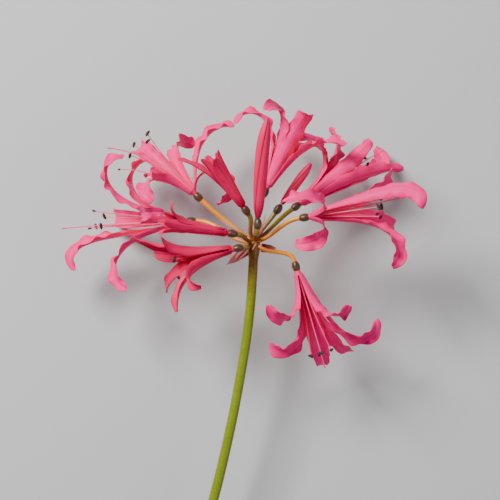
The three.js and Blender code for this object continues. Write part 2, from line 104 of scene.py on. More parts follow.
OPEN_FLOWERS = {
    "a": dict(
        place=(-27, 22.5, -6), heading=136, lean=-5, start=(-0.75, 0.6, -0.35),
        stalk="golden_stalk", petal="pink_petal",
        tepals=[
            (190, 46, 8, 9, 130, 3.4),
            (-40, 38, 8, 16, 200, 1.9, 0, -40),
            (150, 44, 9, 25, 170, 2.6),
            (115, 44, 8.5, 46, 150, 2.2, 0, 50),
            (72, 37, 7.5, 48, 310, 1.05, 0, 30),
            (-155, 33, 8, 16, 110, 2.5),
        ],
        stamens=[(-95, 34, 16, 45), (-30, 33, 14, 50), (-150, 34, 5, 16), (30, 32, 10, 25), (150, 30, 5, 10)],
        style=(-80, 42, 4, 40),
    ),
    "b": dict(
        place=(-31, 10, -13), heading=180, lean=-8, start=(-0.95, 0.1, -0.5),
        stalk="golden_stalk", petal="pink_petal",
        tepals=[
            (-80, 62, 9, 9, 190, 8, 0, -60),
            (118, 62, 8.5, 16, 265, 2.2, 0, 45),
            (78, 58, 8.5, 12, 210, 3.2, 0, 30),
            (-60, 55, 7.5, 14, 165, 2.2, 0, -60),
            (8, 43, 6.5, 16, 210, 1.7, 0, 50),
            (175, 50, 8.5, 14, 100, 2.5),
        ],
        stamens=[(-95, 42, 3, 4), (-20, 36, 8, 12), (-150, 40, 4, 8), (80, 40, 4, 8), (150, 36, 4, 8)],
        style=(-60, 54, 3, 6),
    ),
    "c": dict(
        place=(-12, 4.5, 13), heading=171, lean=22, start=(-0.75, 0.3, 0.75),
        stalk="olive_stalk", petal="crimson_petal",
        tepals=[
            (0, 32, 3.4, 2, 30, 5),
            (60, 34, 3.4, 2, 120, 5),
            (120, 30, 3.4, 2, 35, 5),
            (180, 31, 3.4, 2, 40, 5),
            (-120, 31, 3.4, 2, 40, 5),
            (-60, 31, 3.4, 2, 30, 5),
        ],
        stamens=[(0, 22, 2, 5), (120, 23, 2, 5), (-120, 22, 2, 5)],
    ),
    "d": dict(
        place=(-9.5, -2.8, 12), heading=190, lean=6, start=(-0.7, -0.5, 0.6),
        stalk="olive_stalk", petal="crimson_petal",
        tepals=[
            (110, 44, 5.5, 6, 38, 2.2),
            (45, 36, 5.5, 6, 80, 2.8),
            (-85, 40, 5.5, 9, 95, 1.9, 0, -30),
            (-45, 36, 5, 8, 180, 2.6),
            (165, 38, 5.5, 7, 70, 2.5),
            (-140, 40, 5.5, 9, 100, 2.5),
        ],
        stamens=[(-60, 26, 8, 40), (60, 24, 5, 10), (180, 24, 5, 10)],
    ),
    "e": dict(
        place=(-5, 16.5, 6), heading=124, lean=16, start=(-0.35, 0.9, 0.3),
        stalk="olive_stalk", petal="crimson_petal",
        tepals=[
            (10, 27, 3.8, 4, 30, 3),
            (70, 28, 3.8, 4, 15, 3),
            (130, 26, 3.8, 4, 15, 3),
            (190, 27, 3.8, 4, 30, 3),
            (-110, 36, 3.8, 5, 50, 2),
            (-50, 29, 3.8, 4, 12, 3),
        ],
        stamens=[(0, 19, 3, 8), (120, 18, 3, 8), (-120, 19, 3, 8)],
    ),
    "g": dict(
        place=(5.9, 25.2, -11), heading=66, lean=-8, start=(0.15, 0.9, -0.5),
        stalk="olive_stalk", petal="pink_petal",
        tepals=[
            (-50, 46, 8, 5, 195, 4.2, 0, -50),
            (-95, 49, 7.5, 9, 210, 2.8, 0, -40),
            (15, 41, 8.5, 7, 120, 6),
            (62, 44, 8, 14, 110, 2.2, 0, 50),
            (130, 39, 8.5, 12, 120, 3),
            (190, 42, 8.5, 12, 110, 3),
        ],
        stamens=[(0, 29, 3, 5), (50, 28, 4, 8), (115, 28, 3, 5), (180, 27, 1, 2), (-75, 29, 1, 2)],
        style=(90, 36, 0, 2),
    ),
    "i": dict(
        place=(21, 18, -13), heading=36, lean=-14, start=(0.75, 0.6, -0.35),
        stalk="olive_stalk", petal="pink_petal",
        tepals=[
            (-20, 43, 7, 5, 50, 3),
            (110, 58, 9, 12, 110, 5, 150, -90),
            (-88, 44, 8, 6, 200, 2.1, 0, -50),
            (180, 48, 8.5, 12, 110, 3),
            (-130, 48, 8.5, 12, 110, 3),
            (55, 50, 8.5, 8, 60, 3),
        ],
        stamens=[(0, 34, 2, 4), (65, 34, 5, 6), (120, 33, 5, 8), (180, 34, 5, 10), (-100, 34, 4, 8)],
        style=(80, 44, 2, 6),
    ),
    "j": dict(
        place=(25, 11.7, 6), heading=8, lean=8, start=(0.9, 0.35, 0.25),
        stalk="golden_stalk", petal="pink_petal",
        tepals=[
            (-22, 42, 6.5, 30, 235, 1.2, 0, 40),
            (38, 31, 7, 24, 225, 1.1, 0, 50),
            (80, 55, 8, 8, 165, 3.2, 0, 60),
            (-60, 61, 9, 13, 125, 6, 150, -110),
            (-136, 46, 8, 12, 90, 3),
            (150, 46, 8, 12, 110, 3),
        ],
        stamens=[(0, 30, 8, 14), (50, 30, 8, 12), (110, 28, 4, 6), (180, 30, 3, 6), (-60, 31, 5, 7)],
        style=(-100, 40, 3, 6),
    ),
    "k": dict(
        place=(19.5, -13, 3), heading=-74, lean=4, start=(0.75, -0.55, 0.3),
        stalk="golden_stalk", petal="pink_petal",
        tepals=[
            (45, 38, 6.5, 10, 190, 1.9, 0, 50),
            (95, 47, 8, 5, 205, 3.6, 0, 60),
            (180, 48, 8.5, 6, 80, 3.5),
            (-40, 41, 6.5, 12, 140, 2, 0, -40),
            (-85, 55, 8, 14, 210, 4, 0, -60),
            (-140, 48, 8, 10, 85, 3),
        ],
        stamens=[(0, 36, 5, 10), (60, 36, 5, 12), (120, 36, 5, 10), (180, 36, 5, 10), (-60, 36, 5, 12)],
        style=(180, 42, 2, 10),
    ),
}

BUDS = {
    "f": dict(
        place=(1.8, 10.8, 13), heading=87, lean=5, start=(0.15, 0.75, 0.75),
        stalk="olive_stalk", length=45, radius=3.1, hook=2,
    ),
    "h": dict(
        place=(12.2, 17.1, -1), heading=54, lean=0, start=(0.5, 0.85, 0.15),
        stalk="olive_stalk", length=23, radius=2.0, hook=0,
    ),
}

BRACTS = {
    "spathe_valve_1": dict(
        place=(3.2, -2.2, -2.4), heading=-8, lean=-12,
        length=11, width=4, flare=10, recurve=-110, twist=120,
    ),
    "spathe_valve_2": dict(
        place=(-3.0, -3.2, -2.1), heading=215, lean=-8,
        length=14, width=4.5, flare=10, recurve=80, twist=-100,
    ),
    "bract_thread_1": dict(
        place=(2.4, 2.6, 2.9), heading=74, lean=25,
        length=11, width=0.8, flare=5, recurve=-40, twist=0,
    ),
    "bract_thread_2": dict(
        place=(-3.1, 2.4, 2.4), heading=146, lean=10,
        length=16, width=0.9, flare=20, recurve=-60, twist=60,
    ),
    "bract_thread_3": dict(
        place=(0.4, -1.2, 3.6), heading=60, lean=75,
        length=8, width=0.8, flare=-30, recurve=130, twist=40,
    ),
}
print(len(OPEN_FLOWERS), "open or opening flowers,", len(BUDS), "closed buds")

# %% [markdown]
# A few small helpers come up in every step. One clears the selection before an
# operator runs, because operators act on all that is selected. Others apply a
# modifier, smooth or close a skin, and copy a form with a mesh of its own. The last
# names a finished piece, gives it its finishes, hangs it on the root and hides the
# solid parts it replaces.

# %% Helpers for selecting and finishing a piece
def pick(obj):
    bpy.ops.object.select_all(action="DESELECT")
    obj.select_set(True)
    bpy.context.view_layer.objects.active = obj


def bake_modifier(obj, kind, **settings):
    pick(obj)
    modifier = obj.modifiers.new(kind.lower(), kind)
    for key, value in settings.items():
        setattr(modifier, key, value)
    bpy.ops.object.modifier_apply(modifier=modifier.name)


def smooth(obj, angle=50):
    pick(obj)
    bpy.ops.object.shade_smooth_by_angle(angle=math.radians(angle))


def tidy_skin(obj):
    """Closes doubled points and turns every face outwards."""
    pick(obj)
    bpy.ops.object.mode_set(mode="EDIT")
    bpy.ops.mesh.select_all(action="SELECT")
    bpy.ops.mesh.remove_doubles(threshold=1e-6)
    bpy.ops.mesh.normals_make_consistent(inside=False)
    bpy.ops.object.mode_set(mode="OBJECT")


def own_copy(obj, name):
    twin = obj.copy()
    twin.data = obj.data.copy()
    twin.name = name
    twin.data.name = name
    bpy.context.collection.objects.link(twin)
    return twin


def hand_over(obj, name, nodes, slot, *materials):
    obj.name = name
    obj.data.name = name
    obj.data.materials.clear()
    for material in materials:
        obj.data.materials.append(material)
    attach(obj, "root")
    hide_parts(*nodes)


# %% [markdown]
# The petals' colour follows the petal, not the room, so it reads the petal's own UV
# map: u runs across and v from the base to the tip. A node group draws fine veins
# that run lengthwise by stretching a noise along v; they are ridges and furrows in
# the bump. It paints highlight as pale streaks on the ridges beside the midrib, and
# paints shade into the midrib groove, the vein furrows and the margins. The foot gets
# a tint of its own. The same group serves both faces of every petal with other colours.

# %% Node group: petal veins, painted highlight and painted shade
def new_group(name, inputs, outputs):
    group = bpy.data.node_groups.new(name, "ShaderNodeTree")
    for label, kind, value in inputs:
        socket = group.interface.new_socket(name=label, in_out="INPUT", socket_type=kind)
        if value is not None:
            socket.default_value = value
    for label, kind in outputs:
        group.interface.new_socket(name=label, in_out="OUTPUT", socket_type=kind)
    ends = group.nodes.new("NodeGroupInput"), group.nodes.new("NodeGroupOutput")
    return group, ends[0], ends[1]


def math_node(group, operation, a, b=None, clamp=False):
    node = group.nodes.new("ShaderNodeMath")
    node.operation = operation
    node.use_clamp = clamp
    for socket, value in zip(node.inputs, (a, b)):
        if value is None:
            continue
        if isinstance(value, (int, float)):
            socket.default_value = value
        else:
            group.links.new(value, socket)
    return node.outputs[0]


def mix_colour(group, amount, first, second):
    node = group.nodes.new("ShaderNodeMix")
    node.data_type = "RGBA"
    for socket, value in ((node.inputs[0], amount), (node.inputs[6], first), (node.inputs[7], second)):
        if isinstance(value, (tuple, float, int)):
            socket.default_value = value
        else:
            group.links.new(value, socket)
    return node.outputs[2]


def step_between(group, value, low, high):
    node = group.nodes.new("ShaderNodeMapRange")
    node.interpolation_type = "SMOOTHSTEP"
    group.links.new(value, node.inputs[0])
    node.inputs[1].default_value = low
    node.inputs[2].default_value = high
    return node.outputs[0]


def stretched_noise(group, vector, scale, detail, size=1.0):
    mapping = group.nodes.new("ShaderNodeMapping")
    mapping.inputs["Scale"].default_value = scale
    group.links.new(vector, mapping.inputs["Vector"])
    noise = group.nodes.new("ShaderNodeTexNoise")
    noise.inputs["Scale"].default_value = size
    noise.inputs["Detail"].default_value = detail
    group.links.new(mapping.outputs[0], noise.inputs["Vector"])
    return noise.outputs["Fac"]


# Where the painted highlight and the painted shade fall on a petal, and how strongly.
HIGHLIGHT_BAND = (0.1, 0.42)
HIGHLIGHT_STREAKS = (0.42, 0.66)
HIGHLIGHT_PATCHES = (0.3, 0.6)
MARGIN_BAND, MARGIN_SHADE = (0.36, 0.5), 0.45
MIDRIB_BAND, MIDRIB_SHADE = (0.0, 0.035), 0.55
SHADED_FURROWS, FURROW_SHADE = (0.52, 0.3), 0.4
FOOT_BAND, FOOT_DEPTH = (0.2, 0.02), 0.75


def build_petal_veins():
    group, start, end = new_group(
        "petal_veins_and_painted_light",
        [
            ("Petal UV", "NodeSocketVector", None),
            ("Blade", "NodeSocketColor", (0.85, 0.02, 0.2, 1)),
            ("Painted highlight", "NodeSocketColor", (1.0, 0.25, 0.45, 1)),
            ("Painted shade", "NodeSocketColor", (0.5, 0.0, 0.05, 1)),
            ("Foot", "NodeSocketColor", (0.9, 0.4, 0.45, 1)),
            ("Pale amount", "NodeSocketFloat", 0.6),
        ],
        [("Colour", "NodeSocketColor"), ("Height", "NodeSocketFloat"), ("Roughness", "NodeSocketFloat")],
    )
    split = group.nodes.new("ShaderNodeSeparateXYZ")
    group.links.new(start.outputs["Petal UV"], split.inputs[0])
    u, v = split.outputs[0], split.outputs[1]
    away = math_node(group, "ABSOLUTE", math_node(group, "SUBTRACT", u, 0.5))
    veins = stretched_noise(group, start.outputs["Petal UV"], (34, 1.6, 1), 3)
    fine = stretched_noise(group, start.outputs["Petal UV"], (90, 9, 1), 2)
    cloud = stretched_noise(group, start.outputs["Petal UV"], (5, 6, 1), 2)
    # Painted highlight: pale pink streaks on the vein ridges, in a band beside the midrib.
    band = math_node(group, "SUBTRACT", 1.0, step_between(group, away, *HIGHLIGHT_BAND))
    streak = math_node(group, "MULTIPLY", step_between(group, veins, *HIGHLIGHT_STREAKS), band)
    patchy = math_node(group, "MULTIPLY", streak, step_between(group, cloud, *HIGHLIGHT_PATCHES))
    pale = math_node(group, "MULTIPLY", patchy, start.outputs["Pale amount"], clamp=True)
    colour = mix_colour(group, pale, start.outputs["Blade"], start.outputs["Painted highlight"])
    # Painted shade towards the margins.
    margin = math_node(group, "MULTIPLY", step_between(group, away, *MARGIN_BAND), MARGIN_SHADE)
    colour = mix_colour(group, margin, colour, start.outputs["Painted shade"])
    # Painted shade in the midrib groove; the same groove also sinks the bump.
    groove = math_node(group, "SUBTRACT", 1.0, step_between(group, away, *MIDRIB_BAND))
    midrib = math_node(group, "MULTIPLY", groove, MIDRIB_SHADE)
    colour = mix_colour(group, midrib, colour, start.outputs["Painted shade"])
    # Painted shade in the vein furrows, where the bump is low.
    furrow_shade = math_node(group, "MULTIPLY", step_between(group, veins, *SHADED_FURROWS), FURROW_SHADE)
    colour = mix_colour(group, furrow_shade, colour, start.outputs["Painted shade"])
    foot = math_node(group, "MULTIPLY", step_between(group, v, *FOOT_BAND), FOOT_DEPTH)
    colour = mix_colour(group, foot, colour, start.outputs["Foot"])
    group.links.new(colour, end.inputs["Colour"])
    height = math_node(group, "ADD", veins, math_node(group, "MULTIPLY", fine, 0.5))
    group.links.new(math_node(group, "SUBTRACT", height, groove), end.inputs["Height"])
    rough = math_node(group, "ADD", math_node(group, "MULTIPLY", fine, 0.3), 0.24)
    group.links.new(rough, end.inputs["Roughness"])
    return group


PETAL_VEINS_AND_LIGHT = build_petal_veins()
print("petal veins group:", len(PETAL_VEINS_AND_LIGHT.nodes), "nodes")

# %% [markdown]
# Stalks, ovaries and bracts share a second group. It reads Object coordinates in
# metres, so its grain has a real size: faint streaks along the stalk, small pale
# flecks, and a second colour that takes over towards the hub, where nerine stalks
# turn brown and red. The distance to the hub drives that change.

# %% Node group: stalk skin
def build_stalk_skin():
    group, start, end = new_group(
        "stalk_skin",
        [
            ("Place", "NodeSocketVector", None),
            ("Skin", "NodeSocketColor", (0.3, 0.3, 0.05, 1)),
            ("Near hub", "NodeSocketColor", (0.2, 0.08, 0.03, 1)),
            ("Fleck", "NodeSocketColor", (0.5, 0.5, 0.2, 1)),
            ("Change from", "NodeSocketFloat", 0.004),
            ("Change to", "NodeSocketFloat", 0.02),
            ("Grain", "NodeSocketFloat", 1500.0),
        ],
        [("Colour", "NodeSocketColor"), ("Height", "NodeSocketFloat"), ("Roughness", "NodeSocketFloat")],
    )
    place = start.outputs["Place"]
    hub = group.nodes.new("ShaderNodeVectorMath")
    hub.operation = "DISTANCE"
    hub.inputs[1].default_value = PLANT.translation
    group.links.new(place, hub.inputs[0])
    ramp = group.nodes.new("ShaderNodeMapRange")
    ramp.interpolation_type = "SMOOTHSTEP"
    group.links.new(hub.outputs["Value"], ramp.inputs[0])
    group.links.new(start.outputs["Change from"], ramp.inputs[1])
    group.links.new(start.outputs["Change to"], ramp.inputs[2])
    broad = stretched_noise(group, place, (1, 1, 1), 3, 260)
    grain = group.nodes.new("ShaderNodeTexNoise")
    grain.inputs["Detail"].default_value = 2
    group.links.new(place, grain.inputs["Vector"])
    group.links.new(start.outputs["Grain"], grain.inputs["Scale"])
    wander = math_node(group, "MULTIPLY", math_node(group, "SUBTRACT", broad, 0.5), 0.9)
    far = math_node(group, "ADD", ramp.outputs[0], wander, clamp=True)
    colour = mix_colour(group, far, start.outputs["Near hub"], start.outputs["Skin"])
    flecks = math_node(group, "MULTIPLY", step_between(group, grain.outputs["Fac"], 0.5, 0.75), 0.5)
    colour = mix_colour(group, flecks, colour, start.outputs["Fleck"])
    group.links.new(colour, end.inputs["Colour"])
    group.links.new(grain.outputs["Fac"], end.inputs["Height"])
    rough = math_node(group, "ADD", math_node(group, "MULTIPLY", grain.outputs["Fac"], 0.25), 0.26)
    group.links.new(rough, end.inputs["Roughness"])
    return group


STALK_SKIN = build_stalk_skin()
print("stalk skin group:", len(STALK_SKIN.nodes), "nodes")

# %% [markdown]
# A finish is a Principled shader fed by one of the two groups. Colours are given as
# they look on screen and turned to the linear values that a shader wants. Petals
# let a little light through, so they take some subsurface colour; the waxy stalks
# take a thin coat.

# %% The finishes
def screen(red, green, blue):
    def linear(c):
        c = c / 255
        return c / 12.92 if c <= 0.04045 else ((c + 0.055) / 1.055) ** 2.4
    return (linear(red), linear(green), linear(blue), 1.0)


def finish(name, group, source, values, bump, shine):
    material = bpy.data.materials.new(name)
    material.use_nodes = True
    tree = material.node_tree
    shader = tree.nodes["Principled BSDF"]
    node = tree.nodes.new("ShaderNodeGroup")
    node.node_tree = group
    if source == "uv":
        place = tree.nodes.new("ShaderNodeUVMap")
        place.uv_map = "UVMap"
        tree.links.new(place.outputs["UV"], node.inputs[0])
    else:
        place = tree.nodes.new("ShaderNodeTexCoord")
        tree.links.new(place.outputs["Object"], node.inputs[0])
    for label, value in values.items():
        node.inputs[label].default_value = value
    lift = tree.nodes.new("ShaderNodeBump")
    lift.inputs["Strength"].default_value = bump[0]
    lift.inputs["Distance"].default_value = bump[1]
    tree.links.new(node.outputs["Height"], lift.inputs["Height"])
    tree.links.new(lift.outputs["Normal"], shader.inputs["Normal"])
    tree.links.new(node.outputs["Colour"], shader.inputs["Base Color"])
    tree.links.new(node.outputs["Roughness"], shader.inputs["Roughness"])
    for label, value in shine.items():
        shader.inputs[label].default_value = value
    return material


PETAL_SHINE = {
    "Subsurface Weight": 0.12,
    "Subsurface Radius": (1.0, 0.1, 0.3),
    "Subsurface Scale": 0.001,
    "Specular IOR Level": 0.18,
}
# Each petal finish sets a paler pink as its painted highlight colour and a darker crimson as its painted
# shade colour.
PINK_FACE = finish(
    "pink_petal_face", PETAL_VEINS_AND_LIGHT, "uv",
    {
        "Blade": screen(255, 0, 126),
        "Painted highlight": screen(255, 66, 160),
        "Painted shade": screen(236, 0, 70),
        "Foot": screen(240, 30, 116),
        "Pale amount": 0.45,
    },
    (0.35, 0.0004), PETAL_SHINE,
)
PINK_BACK = finish(
    "pink_petal_back", PETAL_VEINS_AND_LIGHT, "uv",
    {
        "Blade": screen(252, 0, 106),
        "Painted highlight": screen(255, 30, 126),
        "Painted shade": screen(222, 0, 78),
        "Foot": screen(210, 6, 80),
        "Pale amount": 0.3,
    },
    (0.35, 0.0004), PETAL_SHINE,
)
# The crimson finish of the opening flowers and buds is the pink darkened: painted shade on the outer side of
# their petals.
SHADED_CRIMSON_PETAL = finish(
    "crimson_petal_painted_shade", PETAL_VEINS_AND_LIGHT, "uv",
    {
        "Blade": screen(230, 0, 86),
        "Painted highlight": screen(240, 4, 100),
        "Painted shade": screen(172, 0, 58),
        "Foot": screen(146, 0, 38),
        "Pale amount": 0.45,
    },
    (0.35, 0.0004), PETAL_SHINE,
)
FILAMENT = finish(
    "filament_skin", STALK_SKIN, "object",
    {
        "Skin": screen(250, 66, 128),
        "Near hub": screen(240, 50, 92),
        "Fleck": screen(255, 140, 150),
        "Grain": 2500.0,
    },
    (0.15, 0.0001), {"Subsurface Weight": 0.2, "Subsurface Scale": 0.0008},
)
ANTHER = finish(
    "anther_skin", STALK_SKIN, "object",
    {
        "Skin": screen(58, 30, 38),
        "Near hub": screen(58, 30, 38),
        "Fleck": screen(132, 104, 92),
        "Grain": 5200.0,
    },
    (0.8, 0.0002), {"Specular IOR Level": 0.3},
)
OVARY = finish(
    "ovary_skin", STALK_SKIN, "object",
    {
        "Skin": screen(74, 50, 24),
        "Near hub": screen(72, 34, 22),
        "Fleck": screen(112, 92, 42),
        "Grain": 1800.0,
    },
    (0.2, 0.0002), {"Coat Weight": 0.2, "Coat Roughness": 0.35},
)
GOLDEN_STALK = finish(
    "golden_stalk_skin", STALK_SKIN, "object",
    {
        "Skin": screen(228, 140, 0),
        "Near hub": screen(196, 104, 6),
        "Fleck": screen(246, 182, 50),
        "Change to": 0.016,
        "Grain": 1400.0,
    },
    (0.15, 0.0002),
    {
        "Coat Weight": 0.25,
        "Coat Roughness": 0.3,
        "Subsurface Weight": 0.1,
        "Subsurface Scale": 0.001,
    },
)
OLIVE_STALK = finish(
    "olive_stalk_skin", STALK_SKIN, "object",
    {
        "Skin": screen(116, 104, 0),
        "Near hub": screen(128, 58, 14),
        "Fleck": screen(154, 140, 26),
        "Change to": 0.016,
        "Grain": 1400.0,
    },
    (0.15, 0.0002),
    {
        "Coat Weight": 0.25,
        "Coat Roughness": 0.3,
        "Subsurface Weight": 0.1,
        "Subsurface Scale": 0.001,
    },
)
SCAPE_SKIN = finish(
    "scape_skin", STALK_SKIN, "object",
    {
        "Skin": screen(116, 134, 0),
        "Near hub": screen(112, 60, 16),
        "Fleck": screen(138, 156, 0),
        "Change from": 0.002,
        "Change to": 0.032,
        "Grain": 1300.0,
    },
    (0.15, 0.0002),
    {
        "Coat Weight": 0.12,
        "Coat Roughness": 0.3,
        "Specular IOR Level": 0.25,
        "Subsurface Weight": 0.1,
        "Subsurface Scale": 0.001,
    },
)
DRY_BRACT = finish(
    "dry_bract_skin", STALK_SKIN, "object",
    {
        "Skin": screen(206, 118, 116),
        "Near hub": screen(146, 40, 36),
        "Fleck": screen(232, 180, 170),
        "Change to": 0.012,
        "Grain": 2600.0,
    },
    (0.7, 0.0003), {"Specular IOR Level": 0.2},
)
STALK_FINISH = {"golden_stalk": GOLDEN_STALK, "olive_stalk": OLIVE_STALK}
PETAL_FINISH = {"pink_petal": (PINK_FACE, PINK_BACK), "crimson_petal": (SHADED_CRIMSON_PETAL, SHADED_CRIMSON_PETAL)}
print("finishes:", sorted(m.name for m in bpy.data.materials if m.users == 0))

# %% [markdown]
# A flower stands on its own axis: +Z along the axis, +X towards the sky side. The
# next helper gives that frame. The one after it walks along a petal or a thread in
# small steps, bending as it goes, and returns at each step the place, the way
# ahead, the way across and the way in towards the flower's axis.

# %% Flower frames and bending midlines
def flower_matrix(place, heading, lean):
    heading, lean = math.radians(heading), math.radians(lean)
    axis = Vector((math.cos(lean) * math.cos(heading), math.cos(lean) * math.sin(heading), math.sin(lean)))
    up = (Vector((0, 0, 1)) - axis * axis.z).normalized()
    side = axis.cross(up)
    basis = Matrix((up, side, axis)).transposed().to_4x4()
    return Matrix.Translation(Vector(place)) @ basis


def midline(root, length, steps, turn, flare, recurve, late, swing=0, twist=0):
    s = np.linspace(0, 1, steps + 1)
    tilt = np.radians(flare + (recurve - flare) * s**late)
    bearing = np.radians(turn + swing * s * s)
    ahead = np.stack([np.sin(tilt) * np.cos(bearing), np.sin(tilt) * np.sin(bearing), np.cos(tilt)], 1)
    across = np.stack([-np.sin(bearing), np.cos(bearing), 0 * s], 1)
    inward = np.cross(ahead, across)
    roll = np.radians(twist * s * s)[:, None]
    across, inward = (
        across * np.cos(roll) + inward * np.sin(roll),
        inward * np.cos(roll) - across * np.sin(roll),
    )
    place = np.vstack([root, root + np.cumsum(ahead[:-1], 0) * length / steps])
    return s, place, ahead, across, inward


# %% [markdown]
# Every petal starts as the same flat blank: a grid one unit long, whose rows are
# scaled one by one to the outline of a nerine petal, narrow at the claw, widest at
# two thirds and bluntly pointed at the tip. Scaling rows of a grid keeps the quads
# running lengthwise, the way the veins do, and the grid brings its own UV map.

# %% The petal blank
ROWS = 36
COLUMNS = 10
CLAW_WIDTH = 0.36
CLAW_END = 0.05
SPREAD_LENGTH = 0.57
WIDEST_AT = 0.68
TIP_LENGTH = 0.335
TIP_WIDTH = 0.1


def outline(s):
    """Width of a petal at the share s of its length, with its widest as 1."""
    if s < WIDEST_AT:
        t = min(1, max(0, (s - CLAW_END) / SPREAD_LENGTH))
        return CLAW_WIDTH + (1 - CLAW_WIDTH) * t * t * (3 - 2 * t)
    return max(TIP_WIDTH, math.sqrt(max(0, 1 - ((s - WIDEST_AT) / TIP_LENGTH) ** 2)))


def make_blank():
    bpy.ops.object.select_all(action="DESELECT")
    bpy.ops.mesh.primitive_grid_add(
        x_subdivisions=COLUMNS, y_subdivisions=ROWS, size=1, location=(0, 0.5, 0)
    )
    blank = bpy.context.object
    bpy.ops.object.transform_apply(location=True)
    bpy.context.tool_settings.mesh_select_mode = (True, False, False)
    for row in range(ROWS + 1):
        s = row / ROWS
        for vertex in blank.data.vertices:
            vertex.select = abs(vertex.co.y - s) < 0.5 / ROWS
        for edge in blank.data.edges:
            edge.select = False
        for face in blank.data.polygons:
            face.select = False
        bpy.ops.object.mode_set(mode="EDIT")
        bpy.ops.transform.resize(value=(outline(s), 1, 1), center_override=(0, s, 0))
        bpy.ops.object.mode_set(mode="OBJECT")
    blank.name = "petal_blank"
    return blank


BLANK = make_blank()
BLANK_POINTS = np.array([v.co[:] for v in BLANK.data.vertices])
print("petal blank:", len(BLANK_POINTS), "points, widest", round(2 * BLANK_POINTS[:, 0].max(), 3))

# %% [markdown]
# To bend the blank, each of its points is carried to the matching place on the
# petal's midline. Across the petal the blade is rolled into a shallow channel, and
# its margins wave up and down more and more along it, calming just at the tip, which
# gives nerine petals their crisped look. A Curve modifier could bend the blank too, but it
# can't vary the channel and the ruffle along the way. Solidify then gives the blade
# its thickness, thinner at the margin, and Subdivision rounds it.

# %% Bending a petal
PETAL_ROOT_Z = GAP + 0.5
PETAL_THICKNESS = 0.42
MARGIN_THINNING = 0.55
THINNEST = 0.4
CHANNEL_SINK = 0.18
GROOVE_DEPTH = 0.22
GROOVE_SHARE = 0.13
RUFFLE_EVERY = 8.5
FEWEST_RUFFLES = 3.0
CHANNEL_OPENS_BY = 0.7
SECOND_RUFFLE = 0.5
RUFFLE_FROM, RUFFLE_FULL = 0.22, 0.62
TIP_CALM_FROM, TIP_CALM = 0.88, 0.35
RUFFLE_TO_MARGIN = 2.2
MARGIN_WANDER = 0.06
OTHER_MARGIN = 1.3
SMOOTH_ANGLE = 80


def rise(s, low, high):
    t = np.clip((s - low) / (high - low), 0, 1)
    return t * t * (3 - 2 * t)


def petal(name, matrix, row, channel, ruffle, seed):
    turn, length, width, flare, recurve, late, swing, twist = (list(row) + [0, 0])[:8]
    bearing = math.radians(turn)
    root = np.array(
        [TEPAL_ROOT_RADIUS * math.cos(bearing), TEPAL_ROOT_RADIUS * math.sin(bearing), PETAL_ROOT_Z]
    )
    s, place, _, across, inward = midline(
        root, length, ROWS, turn, flare, recurve, late, swing, twist
    )
    step = np.rint(BLANK_POINTS[:, 1] * ROWS).astype(int)
    here = s[step]
    half = np.array([outline(v) for v in s])[step] * width / 2
    share = BLANK_POINTS[:, 0] * width / half
    waves = max(FEWEST_RUFFLES, length / RUFFLE_EVERY)
    side = np.where(share < 0, OTHER_MARGIN, 0.0)
    sway = np.sin(2 * math.pi * waves * here + seed + side * 2.1)
    sway += SECOND_RUFFLE * np.sin(2 * math.pi * waves * 1.7 * here + seed * 1.9 + side * 3.7)
    grow = rise(here, RUFFLE_FROM, RUFFLE_FULL) * (1 - TIP_CALM * rise(here, TIP_CALM_FROM, 1))
    wander = MARGIN_WANDER * np.sin(5.3 * waves * here + seed)
    wide = half * share * (1 + wander * np.abs(share) * grow)
    bend = channel[0] + (channel[1] - channel[0]) * rise(here, 0.0, CHANNEL_OPENS_BY)
    angle = wide / bend
    x = bend * np.sin(angle)
    z = bend * (1 - np.cos(angle)) - CHANNEL_SINK * half
    z += ruffle * np.abs(share) ** RUFFLE_TO_MARGIN * sway * grow
    z -= GROOVE_DEPTH * np.exp(-((share / GROOVE_SHARE) ** 2)) * rise(here, 0.1, 0.3)
    points = place[step] + across[step] * x[:, None] + inward[step] * z[:, None]
    blade = own_copy(BLANK, name)
    blade.data.vertices.foreach_set("co", points.ravel())
    blade.data.transform(matrix)
    edge = blade.vertex_groups.new(name="margin")
    for index, value in enumerate(1 - MARGIN_THINNING * np.abs(share) ** 3):
        edge.add([index], float(value), "REPLACE")
    blade.data.materials.append(None)
    blade.data.materials.append(None)
    bake_modifier(
        blade, "SOLIDIFY", thickness=PETAL_THICKNESS * MM, offset=0, vertex_group="margin",
        thickness_vertex_group=THINNEST, material_offset=1, use_even_offset=False,
    )
    bake_modifier(blade, "SUBSURF", levels=1, render_levels=1)
    blade.vertex_groups.clear()
    smooth(blade, SMOOTH_ANGLE)
    return blade


# %% [markdown]
# Stalks, filaments and styles are threads of nearly even thickness, so each is a
# curve with a round bevel, turned into a mesh. Several threads of one flower go in
# one curve object, because they share a piece.

# %% Threads
def thread_object(name, matrix, lines):
    """lines: lists of (point, radius); one smooth spline for each."""
    curve = bpy.data.curves.new(name, "CURVE")
    curve.dimensions = "3D"
    curve.bevel_depth = 1.0
    curve.bevel_resolution = 4
    curve.use_fill_caps = True
    curve.resolution_u = 4
    for line in lines:
        spline = curve.splines.new("BEZIER")
        spline.bezier_points.add(len(line) - 1)
        for knot, (point, radius) in zip(spline.bezier_points, line):
            knot.co = matrix @ Vector(point)
            knot.radius = radius * MM
            knot.handle_left_type = "AUTO"
            knot.handle_right_type = "AUTO"
    obj = bpy.data.objects.new(name, curve)
    bpy.context.collection.objects.link(obj)
    pick(obj)
    bpy.ops.object.convert(target="MESH")
    obj = bpy.context.object
    tidy_skin(obj)
    smooth(obj, 60)
    return obj


def bezier_points(first, second, third, last, count):
    points = []
    for k in range(count + 1):
        t = k / count
        points.append(
            first * (1 - t) ** 3 + second * 3 * t * (1 - t) ** 2 + third * 3 * t * t * (1 - t) + last * t**3
        )
    return points


